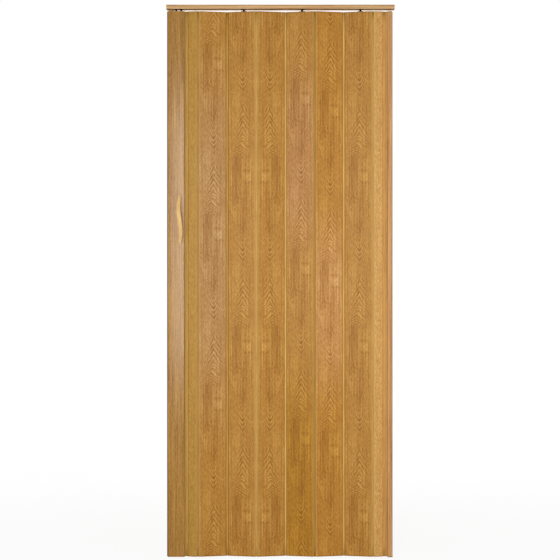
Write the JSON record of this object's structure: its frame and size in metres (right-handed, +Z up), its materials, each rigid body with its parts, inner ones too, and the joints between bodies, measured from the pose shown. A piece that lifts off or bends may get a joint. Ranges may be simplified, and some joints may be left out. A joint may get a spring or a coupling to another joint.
{
  "type": "folding door",
  "caption": "Concertina folding door of hollow wood-print panels on soft hinge strips, hung by gliders in a slotted top track, with a wall channel and a handled lead post.",
  "frame": {"origin": "middle of the top track's upper face", "axes": "+X along the track from the handle side to the wall channel, +Y away from the viewer of the picture, +Z up"},
  "size_m": [0.836, 0.0812, 2.0215],
  "materials": {
    "oak_print": "satin oak print on rigid PVC",
    "oak_post": "satin oak print on rigid PVC",
    "oak_rail": "satin oak print on rigid PVC",
    "soft_strip": "unprinted soft PVC",
    "brown_seal": "dark brown soft PVC",
    "ochre_plug": "plain moulded plastic",
    "black_nylon": "plain moulded nylon",
    "pale_handle": "satin moulded plastic",
    "screw_steel": "zinc plated"
  },
  "bodies": {
    "frame": {"top_track": "oak_rail", "wall_channel": "oak_rail", "end_profile": "oak_rail"},
    "wall_leaf": {"wall_half_panel": "oak_print", "wall_hinge_strip": "soft_strip", "hinge_strip_7": "soft_strip"},
    "leaf_6": {"panel_6": "oak_print", "hinge_strip_6": "soft_strip", "glider_socket_3": "black_nylon"},
    "leaf_5": {"panel_5": "oak_print", "hinge_strip_5": "soft_strip"},
    "leaf_4": {"panel_4": "oak_print", "hinge_strip_4": "soft_strip", "glider_socket_2": "black_nylon"},
    "leaf_3": {"panel_3": "oak_print", "hinge_strip_3": "soft_strip"},
    "leaf_2": {"panel_2": "oak_print", "hinge_strip_2": "soft_strip", "glider_socket_1": "black_nylon"},
    "leaf_1": {"panel_1": "oak_print", "hinge_strip_1": "soft_strip"},
    "lead_leaf": {"lead_half_panel": "oak_print", "lead_hinge_strip": "soft_strip"},
    "post": {"lead_post": "oak_post", "closing_strip": "brown_seal", "post_top_plug": "ochre_plug", "post_bottom_plug": "ochre_plug", "front_handle": "pale_handle", "back_handle": "pale_handle", "handle_screws": "screw_steel", "post_glider_1": "black_nylon", "post_glider_1_stem": "black_nylon", "post_glider_2": "black_nylon", "post_glider_2_stem": "black_nylon"},
    "carriage_1": {"glider_1": "black_nylon", "glider_1_stem": "black_nylon"},
    "carriage_2": {"glider_2": "black_nylon", "glider_2_stem": "black_nylon"},
    "carriage_3": {"glider_3": "black_nylon", "glider_3_stem": "black_nylon"}
  },
  "joints": [
    {"name": "wall_fold", "type": "hinge", "parent": "frame", "child": "wall_leaf", "pos_m": [0.38532, 0, -1.02175], "axis": [0, 0, 1], "range_deg": [0, 73.5]},
    {"name": "fold_7", "type": "hinge", "parent": "wall_leaf", "child": "leaf_6", "pos_m": [0.33938, -0.00383, -1.02175], "axis": [0, 0, 1], "range_deg": [-147, 0], "deforming": ["hinge_strip_7"]},
    {"name": "fold_6", "type": "hinge", "parent": "leaf_6", "child": "leaf_5", "pos_m": [0.23242, 0.00609, -1.02175], "axis": [0, 0, 1], "range_deg": [0, 147], "deforming": ["hinge_strip_6"]},
    {"name": "fold_5", "type": "hinge", "parent": "leaf_5", "child": "leaf_4", "pos_m": [0.12546, -0.00383, -1.02175], "axis": [0, 0, 1], "range_deg": [-147, 0], "deforming": ["hinge_strip_5"]},
    {"name": "fold_4", "type": "hinge", "parent": "leaf_4", "child": "leaf_3", "pos_m": [0.0185, 0.00609, -1.02175], "axis": [0, 0, 1], "range_deg": [0, 147], "deforming": ["hinge_strip_4"]},
    {"name": "fold_3", "type": "hinge", "parent": "leaf_3", "child": "leaf_2", "pos_m": [-0.08846, -0.00383, -1.02175], "axis": [0, 0, 1], "range_deg": [-147, 0], "deforming": ["hinge_strip_3"]},
    {"name": "fold_2", "type": "hinge", "parent": "leaf_2", "child": "leaf_1", "pos_m": [-0.19542, 0.00609, -1.02175], "axis": [0, 0, 1], "range_deg": [0, 147], "deforming": ["hinge_strip_2"]},
    {"name": "fold_1", "type": "hinge", "parent": "leaf_1", "child": "lead_leaf", "pos_m": [-0.30238, -0.00383, -1.02175], "axis": [0, 0, 1], "range_deg": [-147, 0], "deforming": ["hinge_strip_1"]},
    {"name": "lead_fold", "type": "hinge", "parent": "lead_leaf", "child": "post", "pos_m": [-0.34831, 0, -1.02175], "axis": [0, 0, 1], "range_deg": [0, 73.5]},
    {"name": "glider_swivel_1", "type": "hinge", "parent": "leaf_2", "child": "carriage_1", "pos_m": [-0.1344, 0, -1.02175], "axis": [0, 0, 1], "range_deg": [0, 73.5]},
    {"name": "glider_swivel_2", "type": "hinge", "parent": "leaf_4", "child": "carriage_2", "pos_m": [0.07952, 0, -1.02175], "axis": [0, 0, 1], "range_deg": [0, 73.5]},
    {"name": "glider_swivel_3", "type": "hinge", "parent": "leaf_6", "child": "carriage_3", "pos_m": [0.29344, 0, -1.02175], "axis": [0, 0, 1], "range_deg": [0, 73.5]}
  ],
  "couplings": [
    {"joint": "fold_7", "follows": "wall_fold", "ratio": -2},
    {"joint": "fold_6", "follows": "wall_fold", "ratio": 2},
    {"joint": "fold_5", "follows": "wall_fold", "ratio": -2},
    {"joint": "fold_4", "follows": "wall_fold", "ratio": 2},
    {"joint": "fold_3", "follows": "wall_fold", "ratio": -2},
    {"joint": "fold_2", "follows": "wall_fold", "ratio": 2},
    {"joint": "fold_1", "follows": "wall_fold", "ratio": -2},
    {"joint": "lead_fold", "follows": "wall_fold", "ratio": 1},
    {"joint": "glider_swivel_1", "follows": "wall_fold", "ratio": 1},
    {"joint": "glider_swivel_2", "follows": "wall_fold", "ratio": 1},
    {"joint": "glider_swivel_3", "follows": "wall_fold", "ratio": 1}
  ]
}
